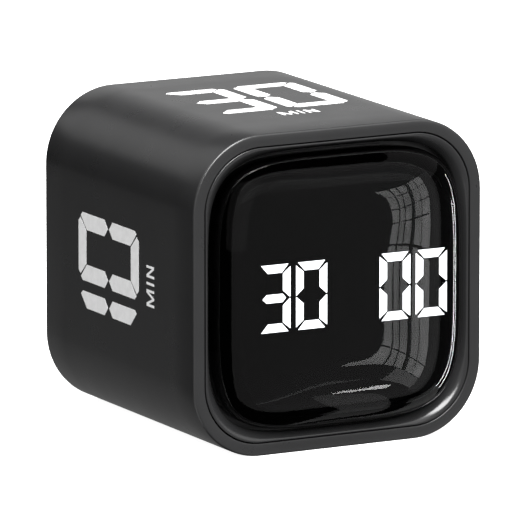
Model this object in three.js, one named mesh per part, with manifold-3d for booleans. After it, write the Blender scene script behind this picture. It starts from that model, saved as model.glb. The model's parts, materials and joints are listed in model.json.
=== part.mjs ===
// A cube kitchen timer. Turning the cube onto another side starts another preset time, which shows on a
// four-digit display under a domed lens. Buttons, a volume slider and the battery door are at the back.
//
// Units are millimetres. +Z is up, the display faces -Y, and +X is to the right of someone facing it.
// Every piece is modelled around the cube's centre, and the whole timer is then raised onto Z = 0.

import * as THREE from "three";
import { mergeVertices } from "three/addons/utils/BufferGeometryUtils.js";
import Module from "manifold-3d";

const wasm = await Module();
wasm.setup();

// ---------------------------------------------------------------- driving dimensions

const CUBE = 60; // edge of the cube
const HALF = CUBE / 2;
const CORNER = 14; // radius of the four long edges
const WALL = 2.3;
const EDGE = 0.35; // bevel on the front and back edges
const SLIP = 0.2; // gap between an inset panel and the housing
const FIT = 0.1; // gap between pieces that rest on each other
const ARC = 9; // straight pieces in each corner arc

const SQUIRCLE = 4.3; // exponent of the lens outline
const SQUIRCLE_STEPS = 40;

const LEDGE = { front: -23.55, back: -21.55, opening: 22, openingRadius: 8 };
const BOSS = { at: 22, radius: 3.6, pilot: 1.1, front: -22, back: 26.5, depth: 10 };

const LENS = { half: 25.6, base: -29, back: -26.85, height: 8.5, power: 3.4, wall: 1 };
const BEZEL = {
  edge: 0.15, // bevel beside the rim
  recess: 26.4,
  depth: 1.1, // how far the face curves back from the rim to the recess
  shelfFront: -26.4,
  shelfBack: -25,
  opening: 23,
  skirt: 25.4,
};
const FASCIA = { half: 22.9, topHalf: 21.9, base: -30.2, top: -33.2, back: -25, wall: 0.8 };

const DIGIT = { width: 6.45, height: 12.6, bar: 1.6, pitch: 7.55, pairGap: 10.9, shift: 1.25 };
const BOARD = 1.2; // thickness of the circuit boards
const DISPLAY_BOARD = { front: -24.85, half: 25, radius: 9 };

const COVER = { front: 26.6, back: 29 };
const BAY = { halfLength: 24.6, bottom: -16.4, top: 5.8, floor: 14.8, wall: 1.4 };
const CELL = { radius: 5.2, length: 44.5, nub: 0.9, nubRadius: 1.9, depth: 20.2, low: -10.8, high: 0.2 };
const DOOR = { half: 25.4, bottom: -17.2, top: 6.6, front: 27.2, gap: 0.2, pin: 0.55, pinLength: 0.8 };

const BUTTON = { radius: 3.75, flange: 4.7, back: 29.7, row: 20.5, spacing: 13 };
const BUTTON_BOARD = { front: 19.2, halfWidth: 18.3, bottom: 8.1, top: 26 };
const BOARD_BACK = BUTTON_BOARD.front + BOARD;
const SLIDER = { x: 6, z: 12, stem: 1.8, slotHalf: 4, slotHeight: 3.6, travel: 2 };
const BUZZER = { x: -12, z: 12.2, radius: 4.5, height: 4.2 };
const BOARD_POSTS = [-4.7, 16.4]; // x of the two posts, level with the slider

// Screws: where they stand from the middle in x and z, shank and head radius, head height, shank length.
const BEZEL_SCREW = { at: 24.9, radius: 0.9, headRadius: 1.8, head: 1.1, length: 4.2 };
const FASCIA_SCREW = { at: 15.2, radius: 0.8, headRadius: 1.6, head: 1, length: 4.6 };
const COVER_SCREW = { at: BOSS.at, radius: 1, headRadius: 2.1, head: 1.1, length: 9 };
const BOARD_SCREW = { radius: 0.8, headRadius: 1.6, head: 0.9, length: 4.5 };
const COVER_SEAT = COVER.back - 1.25; // floor of the counterbores in the rear cover

const CORNERS = [
  [1, 1],
  [-1, 1],
  [-1, -1],
  [1, -1],
];
const SIDES = [
  [1, 0],
  [0, 1],
  [-1, 0],
  [0, -1],
];

// ---------------------------------------------------------------- materials

const finish = (color, roughness, metalness = 0, extra = {}) =>
  new THREE.MeshStandardMaterial({ color, roughness, metalness, ...extra });

const BLACK_MATTE = finish(0x1b1b1c, 0.55);
const BLACK_SATIN = finish(0x202022, 0.3);
const BLACK_GLOSS = finish(0x050506, 0.08);
const CLEAR = finish(0xffffff, 0.03, 0, { transparent: true, opacity: 0.25 });
const FOAM = finish(0x0c0c0c, 0.9);
const LIT_WHITE = finish(0xffffff, 0.4, 0, { emissive: 0xffffff });
const WHITE_PLASTIC = finish(0xe9e9e6, 0.5);
const BOARD_GREEN = finish(0x1d5a35, 0.5);
const CHIP_BLACK = finish(0x141414, 0.6);
const STEEL = finish(0xb4b7ba, 0.3, 1);
const NICKEL = finish(0xc9c6bd, 0.25, 1);
const CELL_SLEEVE = finish(0x2d3f55, 0.35);
const WIRE_RED = finish(0xa81e1e, 0.5);
const WIRE_BLACK = finish(0x101010, 0.5);
const RIBBON_GREY = finish(0xb9bcc0, 0.5);

// ---------------------------------------------------------------- solids

// The geometry as a manifold-3d solid, with its vertices merged and its collapsed triangles dropped.
function solidOf(geometry) {
  const bare = geometry.index ? geometry.toNonIndexed() : geometry.clone();
  bare.deleteAttribute("normal");
  bare.deleteAttribute("uv");
  const merged = mergeVertices(bare, 1e-4);
  const index = merged.index.array;
  const triVerts = [];
  for (let i = 0; i < index.length; i += 3) {
    const [a, b, c] = [index[i], index[i + 1], index[i + 2]];
    if (a !== b && b !== c && a !== c) triVerts.push(a, b, c);
  }
  const vertProperties = merged.attributes.position.array;
  return new wasm.Manifold(
    new wasm.Mesh({ numProp: 3, vertProperties, triVerts: new Uint32Array(triVerts) }),
  );
}

function geometryOf(solid) {
  const { numProp, numVert, vertProperties, triVerts } = solid.getMesh();
  const positions = new Float32Array(numVert * 3);
  for (let i = 0; i < numVert; i++) {
    positions.set(vertProperties.subarray(i * numProp, i * numProp + 3), i * 3);
  }
  const geometry = new THREE.BufferGeometry();
  geometry.setAttribute("position", new THREE.BufferAttribute(positions, 3));
  geometry.setIndex(new THREE.BufferAttribute(triVerts, 1));
  geometry.computeVertexNormals();
  return geometry;
}

const joined = (first, ...others) => others.reduce((whole, piece) => whole.add(piece), first);
const cutBy = (first, ...others) => others.reduce((whole, piece) => whole.subtract(piece), first);

// A rectangle with round corners in the XZ plane, centred on (x, z).
function roundedRect(halfWidth, halfHeight, radius, x = 0, z = 0) {
  const shape = new THREE.Shape();
  const inX = halfWidth - radius;
  const inZ = halfHeight - radius;
  CORNERS.forEach(([sx, sz], i) => {
    shape.absarc(x + sx * inX, z + sz * inZ, radius, (i * Math.PI) / 2, ((i + 1) * Math.PI) / 2);
  });
  shape.closePath();
  return shape;
}

// The shape in the XZ plane as a plate from depth y0 to y1, with an optional bevel on both faces.
function plate(shape, y0, y1, bevel = 0, curveSegments = ARC) {
  const geometry = new THREE.ExtrudeGeometry(shape, {
    depth: y1 - y0 - 2 * bevel,
    bevelEnabled: bevel > 0,
    bevelThickness: bevel,
    bevelSize: bevel,
    bevelOffset: -bevel,
    bevelSegments: 1,
    curveSegments,
  });
  geometry.rotateX(Math.PI / 2);
  geometry.translate(0, y1 - bevel, 0);
  return solidOf(geometry);
}

function roundedPlate(half, radius, y0, y1, bevel = 0) {
  return plate(roundedRect(half, half, radius), y0, y1, bevel);
}

function box(x0, x1, y0, y1, z0, z1) {
  const geometry = new THREE.BoxGeometry(x1 - x0, y1 - y0, z1 - z0);
  geometry.translate((x0 + x1) / 2, (y0 + y1) / 2, (z0 + z1) / 2);
  return solidOf(geometry);
}

// A round rod along Y at (x, z).
function rod(radius, y0, y1, x = 0, z = 0, sides = 16) {
  const geometry = new THREE.CylinderGeometry(radius, radius, y1 - y0, sides);
  geometry.translate(x, (y0 + y1) / 2, z);
  return solidOf(geometry);
}

// A rod at each of the places, each a pair of signs for x and z, at the same distance from the middle.
function rodsAt(places, distance, radius, y0, y1, sides = 16) {
  return places.map(([sx, sz]) => rod(radius, y0, y1, sx * distance, sz * distance, sides));
}

// A turned piece: [radius, y] pairs from the axis back to the axis, y increasing, spun about Y.
function turned(profile, x = 0, z = 0, sides = 20) {
  const points = profile.map(([radius, y]) => new THREE.Vector2(radius, y));
  const geometry = new THREE.LatheGeometry(points, sides);
  geometry.translate(x, 0, z);
  return solidOf(geometry);
}

// A squircle's points in the XZ plane, anticlockwise from the front, closest together at its corners.
function squircle(half) {
  const along = (value) => half * Math.sign(value) * Math.abs(value) ** (2 / SQUIRCLE);
  return Array.from({ length: SQUIRCLE_STEPS }, (_, i) => {
    const angle = (i / SQUIRCLE_STEPS) * 2 * Math.PI;
    return [along(Math.cos(angle)), along(Math.sin(angle))];
  });
}

// The points of a rounded square in the same directions from the middle as a squircle's points.
function roundedSquare(half, radius) {
  const inner = half - radius;
  return squircle(1).map(([x, z]) => {
    const length = Math.hypot(x, z);
    const [long, short] = [x, z].map((v) => Math.abs(v) / length).sort((a, b) => b - a);
    const along = (long + short) * inner;
    const onArc = along + Math.sqrt(along ** 2 - 2 * inner ** 2 + radius ** 2);
    const reach = (half * short) / long > inner ? onArc : half / long;
    return [(x / length) * reach, (z / length) * reach];
  });
}

// A closed skin through outlines given as [points, y] pairs, y increasing.
function loft(sections) {
  const rings = sections.map(([points, y]) => points.map(([x, z]) => [x, y, z]));
  const triangles = [];
  for (let k = 0; k + 1 < rings.length; k++) {
    for (let i = 0; i < SQUIRCLE_STEPS; i++) {
      const next = (i + 1) % SQUIRCLE_STEPS;
      const [a, b, c, d] = [rings[k][i], rings[k][next], rings[k + 1][next], rings[k + 1][i]];
      triangles.push(a, c, b, a, d, c);
    }
  }
  const front = rings[0];
  const back = rings[rings.length - 1];
  for (let i = 1; i + 1 < SQUIRCLE_STEPS; i++) {
    triangles.push(front[0], front[i], front[i + 1], back[0], back[i + 1], back[i]);
  }
  const geometry = new THREE.BufferGeometry();
  geometry.setAttribute("position", new THREE.Float32BufferAttribute(triangles.flat(), 3));
  return solidOf(geometry);
}

const squircleLoft = (sections) => loft(sections.map(([half, y]) => [squircle(half), y]));

// A bar of the given shape swept along a curve through the points, with flat ends.
function swept(shape, points, steps) {
  const path = new THREE.CatmullRomCurve3(points.map((p) => new THREE.Vector3(...p)));
  return solidOf(new THREE.ExtrudeGeometry(shape, { steps, extrudePath: path, bevelEnabled: false }));
}

function polygon(points) {
  return new THREE.Shape(points.map(([x, z]) => new THREE.Vector2(x, z)));
}

function circle(radius, sides) {
  const corners = Array.from({ length: sides }, (_, i) => (i / sides) * 2 * Math.PI);
  return polygon(corners.map((a) => [radius * Math.cos(a), radius * Math.sin(a)]));
}

// ---------------------------------------------------------------- the assembly

const timer = new THREE.Group();
timer.position.z = HALF;

function add(name, solid, material) {
  const mesh = new THREE.Mesh(geometryOf(solid), material);
  mesh.name = name;
  timer.add(mesh);
}

// ---------------------------------------------------------------- housing

// A square tube whose front end shows as the rim. Inside are a ledge that holds the display board and takes
// the bezel's screws, and four bosses for the rear cover's.
function housing() {
  const tube = cutBy(
    roundedPlate(HALF, CORNER, -HALF, HALF, EDGE),
    roundedPlate(HALF - WALL, CORNER - WALL, -HALF - 1, HALF + 1),
  );
  const ledge = cutBy(
    roundedPlate(HALF - WALL / 2, CORNER - WALL / 2, LEDGE.front, LEDGE.back),
    roundedPlate(LEDGE.opening, LEDGE.openingRadius, LEDGE.front - 1, LEDGE.back + 1),
    ...rodsAt(SIDES, BEZEL_SCREW.at, BEZEL_SCREW.radius + 0.35, LEDGE.front - 1, LEDGE.back + 1, 12),
  );
  const bosses = rodsAt(CORNERS, BOSS.at, BOSS.radius, BOSS.front, BOSS.back);
  const pilots = rodsAt(CORNERS, BOSS.at, BOSS.pilot, BOSS.back - BOSS.depth, BOSS.back + 1, 12);
  return cutBy(joined(tube, ledge, ...bosses), ...pilots);
}

// ---------------------------------------------------------------- front: bezel, gasket, lens

// The space that the bezel's face curves around: a rounded square at the rim, and a squircle at the recess.
function bezelFunnel(half, radius) {
  const outer = roundedSquare(half, radius);
  const inner = squircle(BEZEL.recess);
  const steps = 4;
  const curved = Array.from({ length: steps + 1 }, (_, k) => {
    const angle = (k / steps) * (Math.PI / 2);
    const share = Math.sin(angle);
    const points = outer.map(([x, z], i) => [
      x + (inner[i][0] - x) * share,
      z + (inner[i][1] - z) * share,
    ]);
    return [points, -HALF + BEZEL.depth * (1 - Math.cos(angle))];
  });
  return loft([[outer, -HALF - 1], ...curved, [inner, BEZEL.shelfFront]]);
}

// The satin ring inside the rim. The lens stands on a shelf at the bottom of its recess.
function frontBezel() {
  const half = HALF - WALL - SLIP;
  const radius = CORNER - WALL - SLIP;
  const skirt = roundedPlate(half, radius, -HALF, LEDGE.front - FIT, BEZEL.edge);
  const funnel = bezelFunnel(half - BEZEL.edge - 0.05, radius - BEZEL.edge - 0.05);
  const throat = squircleLoft([
    [BEZEL.opening, BEZEL.shelfFront - 1],
    [BEZEL.opening, LEDGE.front],
  ]);
  const { at, radius: shank } = BEZEL_SCREW;
  const posts = rodsAt(SIDES, at, 1.8, BEZEL.shelfBack - 0.5, LEDGE.front - FIT);
  const pilots = rodsAt(SIDES, at, shank + 0.1, BEZEL.shelfBack - 0.9, LEDGE.front, 12);
  const pocket = roundedPlate(BEZEL.skirt, radius - 2, BEZEL.shelfBack, LEDGE.front);
  return cutBy(joined(cutBy(skirt, funnel, throat, pocket), ...posts), ...pilots);
}

function lensGasket() {
  const y0 = LENS.back + FIT / 2;
  const y1 = BEZEL.shelfFront - FIT / 2;
  return cutBy(
    squircleLoft([
      [LENS.half, y0],
      [LENS.half, y1],
    ]),
    squircleLoft([
      [LENS.half - LENS.wall - 0.4, y0 - 1],
      [LENS.half - LENS.wall - 0.4, y1 + 1],
    ]),
  );
}

// Sections of a dome that stands forward of y = base: steep at its edge, and flatter towards its middle.
function domeSections(half, height, back) {
  const shares = [0.06, 0.2, 0.38, 0.58, 0.74, 0.86, 0.94, 0.985];
  const rise = (share) => height * Math.sqrt(1 - share ** LENS.power);
  const dome = shares.map((share) => [half * share, LENS.base - rise(share)]);
  return [...dome, [half, LENS.base], [half, back]];
}

function lensDome() {
  const inner = LENS.half - LENS.wall;
  return cutBy(
    squircleLoft(domeSections(LENS.half, LENS.height, LENS.back)),
    squircleLoft(domeSections(inner, LENS.height - LENS.wall, LENS.back + 1)),
  );
}

// ---------------------------------------------------------------- display

// The seven bars of a digit as polygons in a cell from (0, 0) to (width, height), in the usual order:
// top, upper right, lower right, bottom, lower left, upper left, middle.
function digitBars({ width: w, height: h, bar }) {
  const mid = h / 2;
  const top = [
    [0.4, h],
    [1.78, h - bar],
    [w - 1.78, h - bar],
    [w - 0.4, h],
  ];
  const upperRight = [
    [w, h - 0.46],
    [w - bar, h - 1.76],
    [w - bar, mid + 1.4],
    [w - 0.13, mid + 0.08],
    [w, mid + 0.15],
  ];
  const middle = [
    [0.68, mid],
    [1.53, mid - bar / 2],
    [w - 1.53, mid - bar / 2],
    [w - 0.68, mid],
    [w - 1.53, mid + bar / 2],
    [1.53, mid + bar / 2],
  ];
  const acrossX = (points) => points.map(([x, z]) => [w - x, z]).reverse();
  const acrossZ = (points) => points.map(([x, z]) => [x, h - z]).reverse();
  const lowerRight = acrossZ(upperRight);
  return [top, upperRight, lowerRight, acrossZ(top), acrossX(lowerRight), acrossX(upperRight), middle];
}

// x of the left edge of each of the four digits: two for minutes and two for seconds.
const DIGIT_LEFTS = (() => {
  const pair = DIGIT.pitch + DIGIT.width;
  const start = DIGIT.shift - pair - DIGIT.pairGap / 2;
  const seconds = start + pair + DIGIT.pairGap;
  return [start, start + DIGIT.pitch, seconds, seconds + DIGIT.pitch];
})();

const BAR_GAP = 0.05; // between a bar and the edge of its window in the fascia
const BACKING = { front: -32.3, back: -31.5 }; // the thin plate behind the bars of one digit

const placedBars = (left) =>
  digitBars(DIGIT).map((points) => points.map(([x, z]) => [x + left, z - DIGIT.height / 2]));

// The same polygon with every edge moved in by a distance; the points run clockwise or anticlockwise.
function inset(points, distance) {
  const area = points.reduce((sum, [x, z], i) => {
    const [nx, nz] = points[(i + 1) % points.length];
    return sum + x * nz - nx * z;
  }, 0);
  const side = Math.sign(area) * distance;
  const edges = points.map(([x, z], i) => {
    const [nx, nz] = points[(i + 1) % points.length];
    const length = Math.hypot(nx - x, nz - z);
    const [dx, dz] = [(nx - x) / length, (nz - z) / length];
    return { x: x - dz * side, z: z + dx * side, dx, dz };
  });
  return edges.map((edge, i) => {
    const before = edges[(i + edges.length - 1) % edges.length];
    const cross = before.dx * edge.dz - before.dz * edge.dx;
    const along = ((edge.x - before.x) * edge.dz - (edge.z - before.z) * edge.dx) / cross;
    return [before.x + before.dx * along, before.z + before.dz * along];
  });
}

// The black face of the display, a shallow pillow with a window for each bar.
function displayFascia() {
  const { half, topHalf, base, top, back, wall } = FASCIA;
  const pillow = squircleLoft([
    [topHalf - 0.5, top],
    [topHalf, top + 0.25],
    [half - 0.35, base - 1],
    [half, base],
    [half, back],
  ]);
  const inside = squircleLoft([
    [topHalf - wall, top + wall],
    [half - wall, base],
    [half - wall, back + 1],
  ]);
  const windows = DIGIT_LEFTS.flatMap(placedBars).map((points) =>
    plate(polygon(points), top - 1, top + wall + 1),
  );
  const { at, radius } = FASCIA_SCREW;
  const posts = rodsAt(CORNERS, at, 2.6, top + wall / 2, back);
  const pilots = rodsAt(CORNERS, at, radius + 0.1, back - 4.5, back + 1, 12);
  return cutBy(joined(cutBy(pillow, inside), ...posts), ...windows, ...pilots);
}

// One digit's light guide: seven bars that stand forward from a thin plate.
function digitDiffuser(left) {
  const bars = placedBars(left).map((points) =>
    plate(polygon(inset(points, BAR_GAP)), FASCIA.top + 0.05, BACKING.front + 0.2),
  );
  const reach = DIGIT.height / 2 + 0.4;
  const backing = box(left - 0.1, left + DIGIT.width + 0.1, BACKING.front, BACKING.back, -reach, reach);
  return joined(backing, ...bars);
}

// The white block behind the light guides, with a well for the light of each bar.
function segmentReflector() {
  const { front, back } = { front: BACKING.back + FIT, back: FASCIA.back };
  const [x0, x1] = [DIGIT_LEFTS[0] - 0.4, DIGIT_LEFTS[3] + DIGIT.width + 0.4];
  const block = box(x0, x1, front, back, -7.4, 7.4);
  const wells = DIGIT_LEFTS.flatMap((left) =>
    placedBars(left).map((points) => {
      const xs = points.map(([x]) => x);
      const zs = points.map(([, z]) => z);
      const [x0, x1] = [Math.min(...xs), Math.max(...xs)];
      const [z0, z1] = [Math.min(...zs), Math.max(...zs)];
      const [inX, inZ] = x1 - x0 > z1 - z0 ? [1.9, 0.25] : [0.25, 1.9];
      return box(x0 + inX, x1 - inX, front - 1, back + 1, z0 + inZ, z1 - inZ);
    }),
  );
  return cutBy(block, ...wells);
}

function displayBoard() {
  const { front, half, radius } = DISPLAY_BOARD;
  const back = front + BOARD;
  const notches = rodsAt(SIDES, BEZEL_SCREW.at + 0.3, 2.5, front - 1, back + 1);
  const holes = rodsAt(CORNERS, FASCIA_SCREW.at, 1.1, front - 1, back + 1, 12);
  return cutBy(roundedPlate(half, radius, front, back), ...notches, ...holes);
}

// ---------------------------------------------------------------- fasteners

// A pan-head screw along Y with a cross recess. Its shank starts at y = seat and runs in direction way.
function screw({ radius, headRadius, head, length }, x, z, seat, way) {
  const reach = (y) => seat + way * y;
  const profile = [
    [0, -head],
    [headRadius * 0.7, -head],
    [headRadius, -head * 0.55],
    [headRadius, 0],
    [radius, 0],
    [radius, length - radius],
    [0, length],
  ].map(([r, y]) => [r, reach(y)]);
  const body = turned(way > 0 ? profile : profile.reverse(), x, z, 10);
  const [y0, y1] = [reach(-head - 0.5), reach(-head * 0.5)].sort((a, b) => a - b);
  const [long, thin] = [headRadius * 0.6, headRadius * 0.13];
  const cross = joined(box(-long, long, y0, y1, -thin, thin), box(-thin, thin, y0, y1, -long, long));
  return cutBy(body, cross.translate(x, 0, z));
}

// ---------------------------------------------------------------- rear cover and battery door

const HINGE = { y: (DOOR.front + COVER.back) / 2, z: DOOR.bottom + (COVER.back - DOOR.front) / 2 };
const BUTTON_NAMES = ["minutes", "start_stop", "seconds"];
const BUTTON_XS = [-BUTTON.spacing, 0, BUTTON.spacing];

// The panel that closes the back, in one with the battery bay. The door, buttons and knob pass through it.
function rearCover() {
  const half = HALF - WALL - SLIP;
  const panel = roundedPlate(half, CORNER - WALL - SLIP, COVER.front, COVER.back, 0.2);
  const { halfLength, bottom, top, floor, wall } = BAY;
  const reach = halfLength + wall;
  const shell = box(-reach, reach, floor - wall, COVER.front + 0.5, bottom - wall, top + wall);
  const hollow = box(-halfLength, halfLength, floor, COVER.back + 1, bottom, top);
  const seat = box(
    -DOOR.half - DOOR.gap,
    DOOR.half + DOOR.gap,
    DOOR.front - FIT,
    COVER.back + 1,
    DOOR.bottom - DOOR.gap,
    DOOR.top + DOOR.gap,
  );
  const thumbNotch = box(-6.2, 6.2, COVER.back - 0.9, COVER.back + 1, DOOR.top - 1, DOOR.top + 2.2);
  const pinHoles = turnedAlongX(DOOR.pin + 0.1, DOOR.half + DOOR.pinLength + 0.15);
  const screwHoles = rodsAt(CORNERS, BOSS.at, 1.35, COVER.front - 1, COVER.back + 1, 12);
  const counterbores = rodsAt(CORNERS, BOSS.at, 2.45, COVER_SEAT, COVER.back + 1, 20);
  const buttonHoles = BUTTON_XS.map((x) =>
    rod(BUTTON.radius + 0.2, COVER.front - 1, COVER.back + 1, x, BUTTON.row, 24),
  );
  const slot = plate(
    roundedRect(SLIDER.slotHalf, SLIDER.slotHeight / 2, 0.6, SLIDER.x, SLIDER.z),
    COVER.front - 1,
    COVER.back + 1,
    0,
    2,
  );
  const well = box(
    SLIDER.x - SLIDER.slotHalf - 1,
    SLIDER.x + SLIDER.slotHalf + 1,
    COVER.back - 0.8,
    COVER.back + 1,
    SLIDER.z - SLIDER.slotHeight / 2 - 0.6,
    SLIDER.z + SLIDER.slotHeight / 2 + 0.6,
  );
  const soundHoles = Array.from({ length: 7 }, (_, i) => {
    const [reach, angle] = i ? [2.4, (i * Math.PI) / 3] : [0, 0];
    const [x, z] = [BUZZER.x + reach * Math.cos(angle), BUZZER.z + reach * Math.sin(angle)];
    return rod(0.6, COVER.front - 1, COVER.back + 1, x, z, 8);
  });
  const tabSlots = [CELL.low, CELL.high].map((z) => tabBox(z, 0.2));
  const posts = BOARD_POSTS.map((x) => rod(1.9, BOARD_BACK + FIT, COVER.front + 0.5, x, SLIDER.z));
  const pilots = BOARD_POSTS.map((x) =>
    rod(BOARD_SCREW.radius + 0.1, BOARD_BACK - 1, BOARD_BACK + 4.5, x, SLIDER.z, 12),
  );
  return cutBy(
    joined(panel, shell, ...posts),
    hollow,
    seat,
    thumbNotch,
    pinHoles,
    ...screwHoles,
    ...counterbores,
    ...buttonHoles,
    slot,
    well,
    ...soundHoles,
    ...tabSlots,
    ...pilots,
  );
}

// A round bar along X through the door's hinge line.
function turnedAlongX(radius, halfLength, sides = 16) {
  const geometry = new THREE.CylinderGeometry(radius, radius, 2 * halfLength, sides);
  geometry.rotateZ(Math.PI / 2);
  geometry.translate(0, HINGE.y, HINGE.z);
  return solidOf(geometry);
}

// The door lies flush in the cover. Its lower edge is a barrel on the hinge line, with a pin at each end,
// and its upper edge has a springy tongue between two slits, with a grip for the thumb.
function batteryDoor() {
  const leaf = box(-DOOR.half, DOOR.half, DOOR.front, COVER.back, HINGE.z, DOOR.top);
  const barrel = turnedAlongX((COVER.back - DOOR.front) / 2, DOOR.half, 20);
  const pins = turnedAlongX(DOOR.pin, DOOR.half + DOOR.pinLength);
  const slits = [-1, 1].map((side) =>
    box(side * 4.6 - 0.4, side * 4.6 + 0.4, DOOR.front - 1, COVER.back + 1, DOOR.top - 6, DOOR.top + 1),
  );
  const tongue = box(-3.6, 3.6, COVER.back - 0.8, COVER.back, DOOR.top - 0.2, DOOR.top + 1.2);
  const grips = [0, 1, 2].map((i) =>
    box(-3, 3, COVER.back - 0.3, COVER.back + 1, DOOR.top - 4.6 + i * 1.3, DOOR.top - 4 + i * 1.3),
  );
  const ribs = [-13, 13].map((x) => box(x - 0.6, x + 0.6, DOOR.front - 0.9, DOOR.front + 0.3, -12, 2));
  return cutBy(joined(leaf, barrel, pins, tongue, ...ribs), ...slits, ...grips);
}

// ---------------------------------------------------------------- cells and contacts

const PLATE = 0.4; // thickness of the contact plates
const CELL_END = BAY.halfLength - FIT - PLATE - FIT; // how far a cell's nub reaches from the middle

// A AAA cell along X. pole is the side, +1 or -1, that its positive nub faces.
function cell(z, pole) {
  const start = CELL_END - CELL.length;
  const profile = [
    [0, 0],
    [CELL.radius - 0.4, 0],
    [CELL.radius, 0.4],
    [CELL.radius, CELL.length - CELL.nub - 0.4],
    [CELL.radius - 0.4, CELL.length - CELL.nub],
    [CELL.nubRadius, CELL.length - CELL.nub],
    [CELL.nubRadius, CELL.length],
    [0, CELL.length],
  ].map(([radius, y]) => new THREE.Vector2(radius, y + start));
  const geometry = new THREE.LatheGeometry(profile, 20);
  geometry.rotateZ((-pole * Math.PI) / 2);
  geometry.translate(0, CELL.depth, z);
  return solidOf(geometry);
}

// A cone of spring wire against the negative end of a cell at the given side, coiled about X.
function batterySpring(z, side) {
  const turns = 2.5;
  const steps = 30;
  const wire = 0.3;
  const wide = CELL_END - wire;
  const narrow = CELL.length - CELL_END + FIT + wire;
  const points = Array.from({ length: steps + 1 }, (_, i) => {
    const share = i / steps;
    const radius = 3.6 - 1.8 * share;
    const angle = turns * 2 * Math.PI * share;
    const x = side * (wide + (narrow - wide) * share);
    return [x, CELL.depth + radius * Math.cos(angle), z + radius * Math.sin(angle)];
  });
  return swept(circle(wire, 5), points, steps);
}

function contactPlate(side, z0, z1) {
  const outer = BAY.halfLength - FIT;
  const [x0, x1] = side > 0 ? [outer - PLATE, outer] : [-outer, -outer + PLATE];
  return box(x0, x1, CELL.depth - 4.2, CELL.depth + 4.2, z0, z1);
}

// The solder tab of a terminal, which passes out through the bay's left wall. grow widens it into its slot.
function tabBox(z, grow) {
  const plate = -BAY.halfLength + FIT + PLATE / 2;
  const end = -BAY.halfLength - BAY.wall - 1.1 - grow;
  const [wide, thin] = [1 + grow, 0.2 + grow];
  return box(end, plate, CELL.depth - wide, CELL.depth + wide, z - thin, z + thin);
}

const terminal = (z) => joined(contactPlate(-1, z - 4.2, z + 4.2), tabBox(z, 0));

// ---------------------------------------------------------------- buttons, slider and rear board

const TACT = { half: 3, height: 3.4, plunger: 1.7, reach: 4.5 };

function button(x, symbol) {
  const cap = turned(
    [
      [0, BOARD_BACK + TACT.reach + FIT],
      [1.6, BOARD_BACK + TACT.reach + FIT],
      [1.6, COVER.front - 1],
      [BUTTON.flange, COVER.front - 1],
      [BUTTON.flange, COVER.front - 0.3],
      [BUTTON.radius, COVER.front - 0.3],
      [BUTTON.radius, BUTTON.back - 0.35],
      [BUTTON.radius - 0.4, BUTTON.back],
      [0, BUTTON.back],
    ],
    x,
    BUTTON.row,
    24,
  );
  const engraving = plate(symbol, BUTTON.back - 0.25, BUTTON.back + 1, 0, 1);
  return cutBy(cap, engraving.translate(x, 0, BUTTON.row));
}

// Plain engraved signs: a dash for minutes, a triangle for start and stop, a small square for seconds.
const SIGNS = {
  minutes: polygon([
    [-1.4, -0.3],
    [1.4, -0.3],
    [1.4, 0.3],
    [-1.4, 0.3],
  ]),
  start_stop: polygon([
    [1.1, -1.3],
    [1.1, 1.3],
    [-1.3, 0],
  ]),
  seconds: polygon([
    [-0.6, -0.6],
    [0.6, -0.6],
    [0.6, 0.6],
    [-0.6, 0.6],
  ]),
};

function tactSwitch(x) {
  const { half, height, plunger } = TACT;
  const [back, row] = [BOARD_BACK + height, BUTTON.row];
  const body = box(x - half, x + half, BOARD_BACK, back, row - half, row + half);
  return cutBy(body, rod(plunger + 0.15, BOARD_BACK + 1.6, back + 1, x, row));
}

const tactPlunger = (x) => rod(TACT.plunger, BOARD_BACK + 2.7, BOARD_BACK + TACT.reach, x, BUTTON.row);

const SWITCH = { halfLength: 4.3, halfHeight: 2.2, height: 3.4, lever: 0.75, leverReach: 5 };

function slideSwitchBody() {
  const { halfLength, halfHeight, height, lever } = SWITCH;
  const { x, z, travel } = SLIDER;
  const back = BOARD_BACK + height;
  const body = box(x - halfLength, x + halfLength, BOARD_BACK, back, z - halfHeight, z + halfHeight);
  const [reach, room] = [lever + travel + 0.15, lever + 0.15];
  return cutBy(body, box(x - reach, x + reach, BOARD_BACK + 1.2, back + 1, z - room, z + room));
}

function slideSwitchLever() {
  const { lever, leverReach } = SWITCH;
  const { x, z } = SLIDER;
  return box(x - lever, x + lever, BOARD_BACK + 1.4, BOARD_BACK + leverReach, z - lever, z + lever);
}

// The knob a finger pushes. A collar under the cover holds it in, and its foot is hollow for the lever.
function volumeKnob() {
  const { x, z, slotHeight } = SLIDER;
  const { lever, leverReach } = SWITCH;
  const height = slotHeight / 2 - 0.2;
  const foot = BOARD_BACK + leverReach - 1;
  const reach = SLIDER.slotHalf + SLIDER.travel + 0.2;
  const block = box(x - SLIDER.stem, x + SLIDER.stem, foot, COVER.back + 0.6, z - height, z + height);
  const rim = height + 1;
  const collar = box(x - reach, x + reach, COVER.front - 1, COVER.front - 0.2, z - rim, z + rim);
  const grip = lever + 0.1;
  const socket = box(x - grip, x + grip, foot - 1, BOARD_BACK + leverReach + FIT, z - grip, z + grip);
  const grooves = [-1, 0, 1].map((dx) =>
    box(x + dx - 0.2, x + dx + 0.2, COVER.back + 0.3, COVER.back + 1, z - 3, z + 3),
  );
  return cutBy(joined(block, collar), socket, ...grooves);
}

function buttonBoard() {
  const { front, halfWidth, bottom, top } = BUTTON_BOARD;
  const holes = BOARD_POSTS.map((x) => rod(1.1, front - 1, front + BOARD + 1, x, SLIDER.z, 12));
  return cutBy(box(-halfWidth, halfWidth, front, front + BOARD, bottom, top), ...holes);
}

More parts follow.
